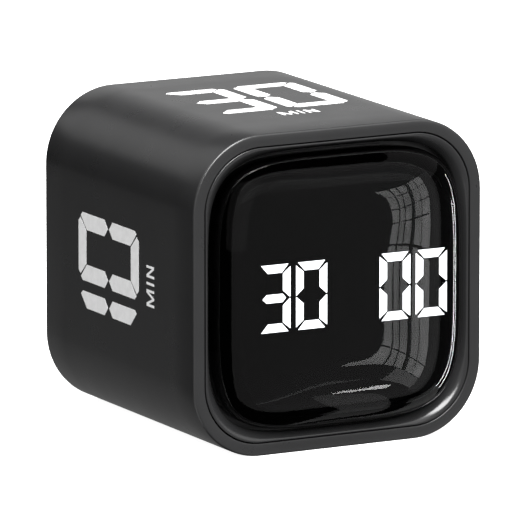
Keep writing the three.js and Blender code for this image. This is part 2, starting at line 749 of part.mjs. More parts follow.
function buzzer() {
  const { x, z, radius, height } = BUZZER;
  const body = turned(
    [
      [0, BOARD_BACK],
      [radius, BOARD_BACK],
      [radius, BOARD_BACK + height - 0.4],
      [radius - 0.4, BOARD_BACK + height],
      [0, BOARD_BACK + height],
    ],
    x,
    z,
    24,
  );
  return cutBy(body, rod(1, BOARD_BACK + height - 1.5, BOARD_BACK + height + 1, x, z, 12));
}

// ---------------------------------------------------------------- wiring

const RIBBON = { halfWidth: 5, thickness: 0.4, low: 6, high: 18 };
const SOCKET = { halfWidth: 6, depth: 2.6, halfHeight: 1.4 };
const DISPLAY_BACK = DISPLAY_BOARD.front + BOARD;

// A ribbon socket with a slit for the cable. way is the direction in which it stands off its board.
function ribbonSocket(face, z, way) {
  const [y0, y1] = [face, face + way * SOCKET.depth].sort((a, b) => a - b);
  const { halfWidth, halfHeight } = SOCKET;
  const body = box(-halfWidth, halfWidth, y0, y1, z - halfHeight, z + halfHeight);
  const [s0, s1] = [face + way * 1, face + way * (SOCKET.depth + 1)].sort((a, b) => a - b);
  const slit = box(-RIBBON.halfWidth - 0.2, RIBBON.halfWidth + 0.2, s0, s1, z - 0.4, z + 0.4);
  return cutBy(body, slit);
}

// The flat cable between the two boards: straight out of each socket, with a gentle S between.
function ribbonCable() {
  const start = DISPLAY_BACK + 1.4;
  const end = BUTTON_BOARD.front - 1.4;
  const steps = 24;
  const half = RIBBON.thickness / 2;
  const along = Array.from({ length: steps + 1 }, (_, i) => {
    const share = i / steps;
    const ease = THREE.MathUtils.smoothstep(share, 0.12, 0.88);
    return [start + (end - start) * share, RIBBON.low + (RIBBON.high - RIBBON.low) * ease];
  });
  const upper = along.map(([y, z]) => [y, z + half]);
  const lower = along.map(([y, z]) => [y, z - half]).reverse();
  const depth = 2 * RIBBON.halfWidth;
  const geometry = new THREE.ExtrudeGeometry(polygon([...upper, ...lower]), { depth, bevelEnabled: false });
  // The outline is drawn as (y, z) and extruded along x.
  const [x, y, z] = [0, 1, 2].map((axis) => new THREE.Vector3().setComponent(axis, 1));
  geometry.applyMatrix4(new THREE.Matrix4().makeBasis(y, z, x));
  geometry.translate(-RIBBON.halfWidth, 0, 0);
  return solidOf(geometry);
}

// A wire from a terminal's tab, up beside the bay at depth lane, and across to the rear board's lower edge.
function batteryLead(tabZ, lane, landing) {
  const side = -BAY.halfLength - BAY.wall - 0.85;
  const rise = BUTTON_BOARD.bottom + 1.8;
  const points = [
    [side, CELL.depth - 1.3, tabZ],
    [side, CELL.depth - 2.5, tabZ + 1.8],
    [side, lane, BAY.top - 1.8],
    [side, lane, BAY.top + BAY.wall],
    [side + 1.2, lane, rise - 0.6],
    [side + 5, lane, rise],
    [landing - 1.8, lane, rise],
    [landing, lane + 1.6, rise],
    [landing, BUTTON_BOARD.front - 0.3, rise],
  ];
  return swept(circle(0.55, 6), points, 24);
}

// ---------------------------------------------------------------- assembling

add("housing", housing(), BLACK_MATTE);

add("front_bezel", frontBezel(), BLACK_SATIN);
add("lens_gasket", lensGasket(), FOAM);
add("lens_dome", lensDome(), CLEAR);

add("display_fascia", displayFascia(), BLACK_GLOSS);
["minutes_tens", "minutes_ones", "seconds_tens", "seconds_ones"].forEach((place, i) => {
  add(`digit_${place}`, digitDiffuser(DIGIT_LEFTS[i]), LIT_WHITE);
});
add("segment_reflector", segmentReflector(), WHITE_PLASTIC);
add("display_board", displayBoard(), BOARD_GREEN);
add("controller_chip", box(-13, -6, DISPLAY_BACK, DISPLAY_BACK + 1, -8, -1), CHIP_BLACK);
add("led_driver_chip", box(4, 12, DISPLAY_BACK, DISPLAY_BACK + 1.2, -8, -3), CHIP_BLACK);
add("motion_sensor", box(-2.5, 0.5, DISPLAY_BACK, DISPLAY_BACK + 0.9, -3, 0), CHIP_BLACK);
add("display_socket", ribbonSocket(DISPLAY_BACK, RIBBON.low, 1), WHITE_PLASTIC);

CORNERS.forEach(([sx, sz], i) => {
  const at = FASCIA_SCREW.at;
  add(`display_screw_${i + 1}`, screw(FASCIA_SCREW, sx * at, sz * at, DISPLAY_BACK, -1), STEEL);
});
SIDES.forEach(([sx, sz], i) => {
  const at = BEZEL_SCREW.at;
  add(`bezel_screw_${i + 1}`, screw(BEZEL_SCREW, sx * at, sz * at, LEDGE.back, -1), STEEL);
});

add("rear_cover", rearCover(), BLACK_MATTE);
add("battery_door", batteryDoor(), BLACK_MATTE);
CORNERS.forEach(([sx, sz], i) => {
  add(`cover_screw_${i + 1}`, screw(COVER_SCREW, sx * BOSS.at, sz * BOSS.at, COVER_SEAT, -1), STEEL);
});

add("cell_lower", cell(CELL.low, -1), CELL_SLEEVE);
add("cell_upper", cell(CELL.high, 1), CELL_SLEEVE);
add("contact_bridge", contactPlate(1, CELL.low - 4.2, CELL.high + 4.2), NICKEL);
add("positive_terminal", terminal(CELL.low), NICKEL);
add("negative_terminal", terminal(CELL.high), NICKEL);
add("spring_lower", batterySpring(CELL.low, 1), NICKEL);
add("spring_upper", batterySpring(CELL.high, -1), NICKEL);

add("button_board", buttonBoard(), BOARD_GREEN);
BUTTON_NAMES.forEach((name, i) => {
  add(`button_${name}`, button(BUTTON_XS[i], SIGNS[name]), BLACK_SATIN);
  add(`tact_switch_${name}`, tactSwitch(BUTTON_XS[i]), CHIP_BLACK);
  add(`tact_plunger_${name}`, tactPlunger(BUTTON_XS[i]), WHITE_PLASTIC);
});
add("slide_switch_body", slideSwitchBody(), STEEL);
add("slide_switch_lever", slideSwitchLever(), WHITE_PLASTIC);
add("volume_knob", volumeKnob(), BLACK_SATIN);
add("buzzer", buzzer(), CHIP_BLACK);
add("board_socket", ribbonSocket(BUTTON_BOARD.front, RIBBON.high, -1), WHITE_PLASTIC);
add("boost_inductor", box(8, 12, BUTTON_BOARD.front - 2.4, BUTTON_BOARD.front, 11, 15), CHIP_BLACK);
add("storage_capacitor", rod(2.5, BUTTON_BOARD.front - 6, BUTTON_BOARD.front, -9, 21, 16), CHIP_BLACK);
BOARD_POSTS.forEach((x, i) => {
  add(`board_screw_${i + 1}`, screw(BOARD_SCREW, x, SLIDER.z, BUTTON_BOARD.front, 1), STEEL);
});

add("ribbon_cable", ribbonCable(), RIBBON_GREY);
add("battery_lead_red", batteryLead(CELL.low, 14.4, -12), WIRE_RED);
add("battery_lead_black", batteryLead(CELL.high, 16.9, -15.5), WIRE_BLACK);

export default timer;
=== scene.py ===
import json
import math

import bmesh
import bpy
from mathutils import Matrix, Quaternion, Vector

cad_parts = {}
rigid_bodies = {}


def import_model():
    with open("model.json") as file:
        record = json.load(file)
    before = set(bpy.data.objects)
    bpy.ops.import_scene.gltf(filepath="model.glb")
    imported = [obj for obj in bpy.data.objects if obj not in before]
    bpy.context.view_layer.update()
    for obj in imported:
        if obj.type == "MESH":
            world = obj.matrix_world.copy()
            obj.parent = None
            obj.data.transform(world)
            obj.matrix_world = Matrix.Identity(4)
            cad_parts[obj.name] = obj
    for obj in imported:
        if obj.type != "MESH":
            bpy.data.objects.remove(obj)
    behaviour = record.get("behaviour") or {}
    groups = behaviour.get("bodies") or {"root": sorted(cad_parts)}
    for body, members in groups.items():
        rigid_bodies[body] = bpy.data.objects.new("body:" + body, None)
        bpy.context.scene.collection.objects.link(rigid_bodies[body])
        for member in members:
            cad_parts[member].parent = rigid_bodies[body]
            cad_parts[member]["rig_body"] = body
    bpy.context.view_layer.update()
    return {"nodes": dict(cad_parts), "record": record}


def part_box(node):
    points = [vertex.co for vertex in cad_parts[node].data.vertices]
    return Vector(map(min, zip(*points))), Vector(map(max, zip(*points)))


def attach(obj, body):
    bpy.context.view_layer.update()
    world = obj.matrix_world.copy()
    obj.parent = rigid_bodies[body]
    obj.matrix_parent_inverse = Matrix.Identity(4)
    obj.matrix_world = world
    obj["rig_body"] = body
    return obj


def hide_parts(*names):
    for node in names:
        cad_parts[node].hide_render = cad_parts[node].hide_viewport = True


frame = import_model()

MM = 0.001
CENTRE = Vector((0, 0, 0.03))  # the cube's centre: the sizes below are in millimetres from it

# The case, as the CAD has it. Every ring of the case turns its corners about the same four lines.
HALF, CORNER, WALL = 30.0, 14.0, 2.3
CORNER_LINE = HALF - CORNER
LEDGE_FRONT, LEDGE_BACK, LEDGE_OPENING, LEDGE_CORNER = -23.55, -21.55, 22, 8
BOSS_AT, BOSS_RADIUS, BOSS_FRONT, BOSS_BACK = 22, 3.6, -22, 26.5
PILOT_RADIUS, PILOT_END = 1.1, 16.5
CASE_EDGE, BACK_LIP, FRONT_LIP = 0.4, 0.3, 0.12  # how far the tube's outer and inner edges are rounded

# The bezel. Its band is finer than the CAD's and deeper, by 0.7 mm at most.
BEZEL_HALF, BEZEL_CORNER, BEZEL_DEPTH, RECESS = 27.45, 11.45, 1.6, 26.35
BEZEL_EDGE, BEZEL_BACK, BEZEL_OPENING = 0.12, -23.65, 23
SHELF_FRONT, SHELF_BACK = -26.4, -25
POCKET_HALF, POCKET_CORNER = 25.4, 9.3

# The lens, and the squircle that it and the bezel's recess follow.
LENS_HALF, LENS_BASE, LENS_BACK, LENS_HEIGHT, LENS_POWER, LENS_WALL = 25.6, -29.0, -26.85, 8.5, 3.4, 1.0
SQUIRCLE = 4.3
BORDER_RINGS = 10  # the dome's rings of faces, from its foot, that the black border covers

# The display.
DIGIT_W, DIGIT_H, DIGIT_BAR, DIGIT_PITCH, PAIR_GAP, DIGIT_SHIFT = 6.45, 12.6, 1.6, 7.55, 10.9, 1.25
FASCIA_TOP = -33.2
BAR_BACK, PLATE_FRONT, PLATE_BACK = -32.1, -32.3, -31.5
PLATE_MARGIN, PLATE_REACH = 0.1, 0.4
BAR_SHRINK = 0.985  # leaves a hair of room round each bar in its window


# ------------------------------------------------------------------ materials

class Shader:
    """A Principled material and short ways to wire procedural detail into it."""

    def __init__(self, name, color, roughness, **sockets):
        self.material = bpy.data.materials.new(name)
        self.material.use_nodes = True
        tree = self.material.node_tree
        self.nodes, self.links = tree.nodes, tree.links
        self.bsdf = next(n for n in self.nodes if n.type == "BSDF_PRINCIPLED")
        self.bsdf.inputs["Base Color"].default_value = (*color, 1)
        self.bsdf.inputs["Roughness"].default_value = roughness
        for socket, value in sockets.items():
            self.bsdf.inputs[socket.replace("_", " ")].default_value = value
        self.height = None

    def place(self, stretch=(1, 1, 1)):
        """The position on the piece in metres, stretched along each axis."""
        where = self.nodes.new("ShaderNodeTexCoord")
        mapping = self.nodes.new("ShaderNodeMapping")
        mapping.inputs["Scale"].default_value = stretch
        self.links.new(where.outputs["Object"], mapping.inputs["Vector"])
        return mapping.outputs["Vector"]

    def noise(self, scale, detail=3.0, stretch=(1, 1, 1)):
        node = self.nodes.new("ShaderNodeTexNoise")
        node.inputs["Scale"].default_value = scale
        node.inputs["Detail"].default_value = detail
        self.links.new(self.place(stretch), node.inputs["Vector"])
        return node.outputs["Fac"]

    def ramp(self, source, low, high, start=0.3, end=0.7):
        """Colours from low to high as source goes from start to end."""
        node = self.nodes.new("ShaderNodeValToRGB")
        node.color_ramp.elements[0].position, node.color_ramp.elements[1].position = start, end
        node.color_ramp.elements[0].color, node.color_ramp.elements[1].color = (*low, 1), (*high, 1)
        self.links.new(source, node.inputs["Fac"])
        return node.outputs["Color"]

    def span(self, source, low, high, start=0.3, end=0.7):
        node = self.nodes.new("ShaderNodeMapRange")
        for socket, value in zip(("From Min", "From Max", "To Min", "To Max"), (start, end, low, high)):
            node.inputs[socket].default_value = value
        self.links.new(source, node.inputs["Value"])
        return node.outputs["Result"]

    def color(self, source):
        self.links.new(source, self.bsdf.inputs["Base Color"])
        return self

    def rough(self, source):
        self.links.new(source, self.bsdf.inputs["Roughness"])
        return self

    def bump(self, source, strength, depth_mm):
        """Adds relief of about depth_mm; calls after the first lie on top of it."""
        node = self.nodes.new("ShaderNodeBump")
        node.inputs["Strength"].default_value = strength
        node.inputs["Distance"].default_value = depth_mm * MM
        self.links.new(source, node.inputs["Height"])
        if self.height:
            self.links.new(self.height, node.inputs["Normal"])
        self.height = node.outputs["Normal"]
        self.links.new(self.height, self.bsdf.inputs["Normal"])
        return self


def moulded(name, dark, light, rough_low, rough_high, grain=5200, relief=0.02, **sockets):
    """Moulded plastic: spark-eroded grain, with slow changes of tone and gloss."""
    s = Shader(name, light, rough_high, **sockets)
    s.color(s.ramp(s.noise(90, 5), dark, light))
    s.rough(s.span(s.noise(160, 4), rough_low, rough_high))
    s.bump(s.noise(grain, 2), 0.3, relief)
    return s


BLACK_ABS = (0.0142, 0.0142, 0.0146), (0.0156, 0.0156, 0.016)
GLOSS_BLACK = (0.0026, 0.0026, 0.0028), (0.0034, 0.0034, 0.0036)
matte_black = moulded("matte_black_abs", *BLACK_ABS, 0.27, 0.3, 6500, 0.004)
satin_black = moulded("satin_black_abs", *BLACK_ABS, 0.19, 0.24, 9000, 0.001)
white_plastic = moulded("white_plastic", (0.72, 0.72, 0.69), (0.82, 0.82, 0.8), 0.38, 0.5, 3000, 0.01)
chip_black = moulded("chip_black", (0.012, 0.012, 0.012), (0.022, 0.022, 0.022), 0.45, 0.65, 9000, 0.01)
foam = moulded("black_foam", (0.006, 0.006, 0.006), (0.02, 0.02, 0.02), 0.85, 1.0, 2600, 0.12)
ribbon = moulded("ribbon_grey", (0.42, 0.43, 0.45), (0.55, 0.56, 0.58), 0.4, 0.55, 3000, 0.01)
wire_red = moulded("wire_red", (0.36, 0.015, 0.015), (0.5, 0.03, 0.03), 0.35, 0.5, 3000, 0.01)
wire_black = moulded("wire_black", (0.008, 0.008, 0.008), (0.016, 0.016, 0.016), 0.35, 0.5, 3000, 0.01)

gloss_black = Shader("gloss_black_acrylic", (0.003, 0.003, 0.0033), 0.42, Specular_IOR_Level=0.0)
gloss_black.rough(gloss_black.span(gloss_black.noise(220, 4), 0.38, 0.46))
gloss_black.color(gloss_black.ramp(gloss_black.noise(300, 3), *GLOSS_BLACK))


def acrylic(name):
    s = Shader(name, (0.93, 0.94, 0.95), 0.015, Transmission_Weight=1.0, IOR=1.49)
    s.color(s.ramp(s.noise(120, 3), (0.92, 0.93, 0.94), (0.94, 0.95, 0.96)))
    s.rough(s.span(s.noise(300, 4), 0.0, 0.03, 0.55, 0.8))
    return s


clear = acrylic("clear_acrylic")
clear_inside = acrylic("clear_acrylic_inside")
clear_inside.bsdf.inputs["Specular Tint"].default_value = (0.05, 0.05, 0.05, 1)

# A black band on the dome's inner face near its foot; it keeps the dome's edge dark.
border_black = Shader("black_inner_band", (0.002, 0.002, 0.002), 0.6, Specular_IOR_Level=0.0)
border_black.color(border_black.ramp(border_black.noise(600, 3), (0.0016,) * 3, (0.0024,) * 3))
border_black.rough(border_black.span(border_black.noise(900, 3), 0.5, 0.7))

lit = Shader("lit_diffuser", (0.9, 0.9, 0.9), 0.4, Emission_Strength=2.6)
lit.color(lit.ramp(lit.noise(400, 2), (0.86, 0.87, 0.88), (0.93, 0.93, 0.93)))
lit.links.new(lit.ramp(lit.noise(400, 2), (0.97, 0.985, 1.0), (1, 1, 1)), lit.bsdf.inputs["Emission Color"])

unlit = Shader("unlit_diffuser", (0.003, 0.003, 0.0033), 0.5, Specular_IOR_Level=0.0)
unlit.color(unlit.ramp(unlit.noise(300, 3), *GLOSS_BLACK))
unlit.rough(unlit.span(unlit.noise(400, 3), 0.45, 0.6))

ink = Shader("white_ink", (0.82, 0.82, 0.82), 0.5)
ink.color(ink.ramp(ink.noise(700, 5), (0.78, 0.78, 0.78), (0.86, 0.86, 0.86)))
ink.bump(ink.noise(5200, 2), 0.3, 0.01)

board = Shader("circuit_board", (0.015, 0.1, 0.045), 0.35)
traces = board.noise(900, 0, (1, 1, 0.12))
board.color(board.ramp(traces, (0.01, 0.075, 0.03), (0.022, 0.14, 0.06), 0.47, 0.53))
board.rough(board.span(board.noise(500, 3), 0.25, 0.4))

steel = Shader("zinc_steel", (0.6, 0.61, 0.62), 0.32, Metallic=1.0)
steel.rough(steel.span(steel.noise(2600, 4), 0.22, 0.42))
steel.bump(steel.noise(3400, 3), 0.15, 0.01)

nickel = Shader("nickel_plate", (0.72, 0.69, 0.62), 0.22, Metallic=1.0)
nickel.rough(nickel.span(nickel.noise(1500, 4), 0.14, 0.32))

sleeve = Shader("cell_sleeve", (0.08, 0.12, 0.18), 0.3, Coat_Weight=0.4, Coat_Roughness=0.1)
sleeve.rough(sleeve.span(sleeve.noise(900, 3), 0.25, 0.4))


# ------------------------------------------------------------------ mesh pieces

def piece(name, bm, materials, body, replaces=(), smooth_angle=30, bevel=0.0):
    """An object of the finished mesh, riding on a CAD body."""
    mesh = bpy.data.meshes.new(name)
    bm.to_mesh(mesh)
    bm.free()
    for shader in materials:
        mesh.materials.append(shader.material)
    for polygon in mesh.polygons:
        polygon.use_smooth = True
    mesh.set_sharp_from_angle(angle=math.radians(smooth_angle))
    made = bpy.data.objects.new(name, mesh)
    bpy.context.scene.collection.objects.link(made)
    if bevel:
        rounding = made.modifiers.new("edge_rounding", "BEVEL")
        rounding.width = bevel * MM
        rounding.segments = 3
        rounding.limit_method = "ANGLE"
        rounding.angle_limit = math.radians(40)
        rounding.harden_normals = True
    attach(made, body)
    if replaces:
        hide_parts(*replaces)
    return made


def refined(node, shader, bevel=0.12):
    """A CAD node's shape with its seams merged, its flat faces whole and its edges rounded."""
    body = frame["nodes"][node]["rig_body"]
    bm = bmesh.new()
    bm.from_mesh(frame["nodes"][node].data)
    bmesh.ops.remove_doubles(bm, verts=bm.verts, dist=0.004 * MM)
    bmesh.ops.dissolve_limit(
        bm, angle_limit=math.radians(0.6), verts=bm.verts, edges=bm.edges, use_dissolve_boundaries=False
    )
    return piece(f"{node}_shape", bm, [shader], body, (node,), bevel=bevel)


def to_world(x, y, z):
    return CENTRE + Vector((x, y, z)) * MM


CORNER_STEPS, SIDE_STEPS = 24, 16


def rounded_ring(half, radius, y):
    """Points of a rounded square at depth y, anticlockwise from the front, even along each stretch."""
    corners = []
    for quarter in range(4):
        sx, sz = ((1, 1), (-1, 1), (-1, -1), (1, -1))[quarter]
        middle = Vector((sx * (half - radius), y, sz * (half - radius)))
        angles = [(quarter + k / CORNER_STEPS) * math.pi / 2 for k in range(CORNER_STEPS + 1)]
        corners.append([middle + radius * Vector((math.cos(a), 0, math.sin(a))) for a in angles])
    ring = []
    for corner, following in zip(corners, corners[1:] + corners[:1]):
        ring += corner
        ring += [corner[-1].lerp(following[0], k / SIDE_STEPS) for k in range(1, SIDE_STEPS)]
    return ring


def squircle_ring(half, y):
    """Points of a squircle at depth y, in the directions of the rounded square's points."""
    ring = []
    for x, _, z in rounded_ring(BEZEL_HALF, BEZEL_CORNER, 0):
        reach = math.hypot(x, z)
        c, s = abs(x / reach), abs(z / reach)
        r = half / (c**SQUIRCLE + s**SQUIRCLE) ** (1 / SQUIRCLE)
        ring.append((x / reach * r, y, z / reach * r))
    return ring


def loft(rings, closed=False, caps=False):
    """Quads between the rings, in order; closed joins the last to the first, and caps fills both ends."""
    bm = bmesh.new()
    loops = [[bm.verts.new(to_world(*p)) for p in ring] for ring in rings]
    count = len(loops[0])
    pairs = list(zip(loops, loops[1:])) + ([(loops[-1], loops[0])] if closed else [])
    for a, b in pairs:
        for i in range(count):
            j = (i + 1) % count
            bm.faces.new((a[i], a[j], b[j], b[i]))
    if caps:
        bm.faces.new(loops[0])
        bm.faces.new(loops[-1])
    bmesh.ops.recalc_face_normals(bm, faces=bm.faces)
    return bm


def lathe_into(bm, profile, x, z, sides=32):
    """Adds a closed turned shape about a line along Y at (x, z); profile has [radius, y] off the axis."""
    angles = [2 * math.pi * k / sides for k in range(sides)]
    rings = [
        [bm.verts.new(to_world(x + radius * math.cos(a), y, z + radius * math.sin(a))) for a in angles]
        for radius, y in profile
    ]
    for a, b in zip(rings, rings[1:] + rings[:1]):
        for i in range(sides):
            j = (i + 1) % sides
            bm.faces.new((a[i], a[j], b[j], b[i]))


def prism_into(bm, outline, place, low, high, material=0):
    """Adds a prism of the outline; place(u, v, w) gives a world point from its plane and height."""
    bottom = [bm.verts.new(place(u, v, low)) for u, v in outline]
    top = [bm.verts.new(place(u, v, high)) for u, v in outline]
    count = len(outline)
    faces = [bm.faces.new(top), bm.faces.new(bottom[::-1])]
    for i in range(count):
        j = (i + 1) % count
        faces.append(bm.faces.new((bottom[i], bottom[j], top[j], top[i])))
    for face in faces:
        face.material_index = material


def turned_edge(outer, inner, y_face, y_side, steps=4):
    """[half, y] pairs that turn a rounded edge from (outer, y_side) to the face at (inner, y_face)."""
    pairs = []
    for k in range(steps + 1):
        angle = k / steps * math.pi / 2
        half = inner + (outer - inner) * math.cos(angle)
        pairs.append((half, y_side + (y_face - y_side) * math.sin(angle)))
    return pairs


# ------------------------------------------------------------------ case

def case_ring(half, y):
    return rounded_ring(half, half - CORNER_LINE, y)


def housing():
    """The square tube, with the ledge inside it and the four bosses for the rear cover's screws."""
    inner = HALF - WALL
    front = turned_edge(HALF, HALF - CASE_EDGE, -HALF, -HALF + CASE_EDGE)
    back = turned_edge(HALF, HALF - CASE_EDGE, HALF, HALF - CASE_EDGE)
    back_lip = turned_edge(inner, inner + BACK_LIP, HALF, HALF - BACK_LIP)
    front_lip = turned_edge(inner, inner + FRONT_LIP, -HALF, -HALF + FRONT_LIP)
    outside = front[::-1] + [(HALF, y) for y in (-22, -8, 8, 22)] + back
    rings = [case_ring(*section) for section in outside + back_lip[::-1]]
    rings.append(case_ring(inner, LEDGE_BACK))
    rings += [rounded_ring(LEDGE_OPENING, LEDGE_CORNER, y) for y in (LEDGE_BACK, LEDGE_FRONT)]
    rings += [case_ring(*section) for section in [(inner, LEDGE_FRONT)] + front_lip]
    bm = loft(rings, closed=True)
    boss = [(BOSS_RADIUS, BOSS_FRONT), (BOSS_RADIUS, BOSS_BACK)]
    boss += [(PILOT_RADIUS, BOSS_BACK), (PILOT_RADIUS, PILOT_END)]
    for sx in (-1, 1):
        for sz in (-1, 1):
            lathe_into(bm, boss, sx * BOSS_AT, sz * BOSS_AT)
    bmesh.ops.recalc_face_normals(bm, faces=bm.faces)
    piece("housing_shell", bm, [matte_black], "case", ("housing",), 40)


def bezel(steps=12):
    """The satin ring, whose face bends back from the rounded square at the rim to the lens's recess."""
    rings = [rounded_ring(POCKET_HALF, POCKET_CORNER, BEZEL_BACK)]
    rings.append(rounded_ring(BEZEL_HALF, BEZEL_CORNER, BEZEL_BACK))
    edge = turned_edge(BEZEL_HALF, BEZEL_HALF - BEZEL_EDGE, -HALF, -HALF + BEZEL_EDGE)
    rings += [case_ring(*section) for section in edge]
    outer, inner = case_ring(BEZEL_HALF - BEZEL_EDGE - 0.04, -HALF), squircle_ring(RECESS, -HALF)
    for k in range(steps + 1):
        share = k / steps
        depth = BEZEL_DEPTH * share**2
        rings.append([
            (a[0] + (b[0] - a[0]) * share, -HALF + depth, a[2] + (b[2] - a[2]) * share)
            for a, b in zip(outer, inner)
        ])
    rings.append(squircle_ring(RECESS, SHELF_FRONT))
    rings += [squircle_ring(BEZEL_OPENING, y) for y in (SHELF_FRONT, SHELF_BACK)]
    rings.append(rounded_ring(POCKET_HALF, POCKET_CORNER, SHELF_BACK))
    bm = loft(rings, closed=True)
    piece("bezel_ring", bm, [satin_black], "case", ("front_bezel",), 50)


def dome_rings(half, height, base, back, steps=26):
    """Squircle rings from near the dome's middle out to its foot."""
    rings = []
    for k in range(1, steps + 1):
        angle = k / steps * math.pi / 2
        share = math.sin(angle) ** (2 / LENS_POWER)
        rise = height * math.sqrt(max(0.0, 1 - share**LENS_POWER))
        rings.append(squircle_ring(half * share, base - rise))
    rings.append(squircle_ring(half, back))
    return rings


def lens():
    """The clear dome; the steep edge of its inner face is black, which keeps its foot dark."""
    outer = dome_rings(LENS_HALF, LENS_HEIGHT, LENS_BASE, LENS_BACK)
    inner = dome_rings(LENS_HALF - LENS_WALL, LENS_HEIGHT - LENS_WALL, LENS_BASE, LENS_BACK)
    bm = loft(outer + inner[::-1], caps=True)
    bm.faces.ensure_lookup_table()
    per_ring = len(outer[0])
    inside = bm.faces[per_ring * len(outer):-2]
    for k, face in enumerate(inside):
        face.material_index = 2 if k < per_ring * BORDER_RINGS else 1
    bm.faces[-1].material_index = 1
    skins = [clear, clear_inside, border_black]
    piece("lens_shell", bm, skins, "case", ("lens_dome",), 60)


# ------------------------------------------------------------------ display

SEGMENTS = {"0": "abcdef", "1": "bc", "3": "abcdg", "5": "acdfg", "6": "acdefg"}


def seven_bars(width, height, bar, ends):
    """The bars a to g as outlines in a cell; ends holds the small offsets of their tips."""
    w, h, mid = width, height, height / 2
    outer, corner, tip, shoulder, middle = ends
    top = [(outer, h - corner), (outer + corner * 0.85, h)]
    top += [(w - outer - corner * 0.85, h), (w - outer, h - corner)]
    top += [(w - bar - 0.17, h - bar), (bar + 0.17, h - bar)]
    upper_right = [(w, h - bar * 0.29 - corner), (w - corner * 0.8, h - bar * 0.29)]
    upper_right += [(w - bar, h - bar - 0.17), (w - bar, mid + shoulder), tip(w, mid), (w, mid + middle)]
    centre = [(bar * 0.5 + 0.1, mid), (bar + 0.02, mid - bar / 2), (w - bar - 0.02, mid - bar / 2)]
    centre += [(w - bar * 0.5 - 0.1, mid), (w - bar - 0.02, mid + bar / 2), (bar + 0.02, mid + bar / 2)]

    def across(points):
        return [(w - x, z) for x, z in points][::-1]

    def over(points):
        return [(x, h - z) for x, z in points][::-1]

    return {
        "a": top, "b": upper_right, "c": over(upper_right), "d": over(top),
        "e": across(over(upper_right)), "f": across(upper_right), "g": centre,
    }


def lit_digit(place_name, symbol, left):
    """One digit's light guide: its seven bars, of which the symbol's are lit, in front of a thin plate."""
    ends = (0.4, 0.02, lambda w, mid: (w - 0.13, mid + 0.08), 1.4, 0.15)
    bars = seven_bars(DIGIT_W, DIGIT_H, DIGIT_BAR, ends)
    bm = bmesh.new()

    def at(u, v, y):
        return to_world(left + u, y, v - DIGIT_H / 2)

    for key, outline in bars.items():
        cx = sum(p[0] for p in outline) / len(outline)
        cz = sum(p[1] for p in outline) / len(outline)
        shrunk = [(cx + (x - cx) * BAR_SHRINK, cz + (z - cz) * BAR_SHRINK) for x, z in outline]
        prism_into(bm, shrunk, at, BAR_BACK, FASCIA_TOP + 0.05, 0 if key in SEGMENTS[symbol] else 1)
    right, above = DIGIT_W + PLATE_MARGIN, DIGIT_H + PLATE_REACH
    plate = [(-PLATE_MARGIN, -PLATE_REACH), (right, -PLATE_REACH), (right, above), (-PLATE_MARGIN, above)]
    prism_into(bm, plate, at, PLATE_BACK, PLATE_FRONT, 1)
    bmesh.ops.recalc_face_normals(bm, faces=bm.faces)
    node = f"digit_{place_name}"
    piece(f"{node}_lit", bm, [lit, unlit], "case", (node,))


def display():
    pair = DIGIT_PITCH + DIGIT_W
    start = DIGIT_SHIFT - pair - PAIR_GAP / 2
    seconds = start + pair + PAIR_GAP
    lefts = (start, start + DIGIT_PITCH, seconds, seconds + DIGIT_PITCH)
    places = ("minutes_tens", "minutes_ones", "seconds_tens", "seconds_ones")
    for place_name, symbol, left in zip(places, "3000", lefts):
        lit_digit(place_name, symbol, left)


# ------------------------------------------------------------------ printed presets

# The letters of the unit, each with its left edge and its outline.
LETTERS = (
    (-3.82, [(0, 0), (0, 3), (0.62, 3), (1.575, 0.75), (2.53, 3), (3.15, 3), (3.15, 0), (2.68, 0),
             (2.68, 2.15), (1.77, 0), (1.38, 0), (0.47, 2.15), (0.47, 0)]),
    (0.22, [(0, 0), (0, 3), (0.47, 3), (0.47, 0)]),
    (1.6, [(0, 0), (0, 3), (0.5, 3), (1.78, 0.85), (1.78, 3), (2.24, 3), (2.24, 0), (1.74, 0),
           (0.46, 2.15), (0.46, 0)]),
)
PRINT_W, PRINT_H, PRINT_BAR = 12.9, 24.4, 3.15
NUMBER_FOOT, UNIT_FOOT = -8.25, -14.4  # how far up each starts, from the side's middle
INK_LOW, INK_TOP = -0.02, 0.03


def printed(side, text, normal, along, shift, lefts):
    """A preset number and its unit, as a thin layer of ink on one side of the case."""
    up = Vector((0, 1, 0))
    ends = (1.1, 0.78, lambda w, mid: (w - 1.57, mid + 0.24), 1.66, 1.62)
    bars = seven_bars(PRINT_W, PRINT_H, PRINT_BAR, ends)
    bm = bmesh.new()

    def at(u, v, w):
        return CENTRE + (normal * (HALF + w) + along * u + up * v) * MM

    for symbol, left in zip(text, lefts):
        for key in SEGMENTS[symbol]:
            prism_into(bm, [(left + x, z + NUMBER_FOOT) for x, z in bars[key]], at, INK_LOW, INK_TOP)
    for left, outline in LETTERS:
        prism_into(bm, [(shift + left + x, z + UNIT_FOOT) for x, z in outline], at, INK_LOW, INK_TOP)
    bmesh.ops.recalc_face_normals(bm, faces=bm.faces)
    piece(f"print_{side}", bm, [ink], "case")


def prints():
    x, z = Vector((1, 0, 0)), Vector((0, 0, 1))
    printed("top", "30", z, x, 0.85, (-13.15, 1.75))
    printed("left", "10", -x, z, 0.0, (-18.4, -3.5))
    printed("right", "60", x, -z, 0.4, (-13.5, 1.4))
    printed("base", "5", -z, -x, 0.0, (-6.45,))


# ------------------------------------------------------------------ the rest of the pieces

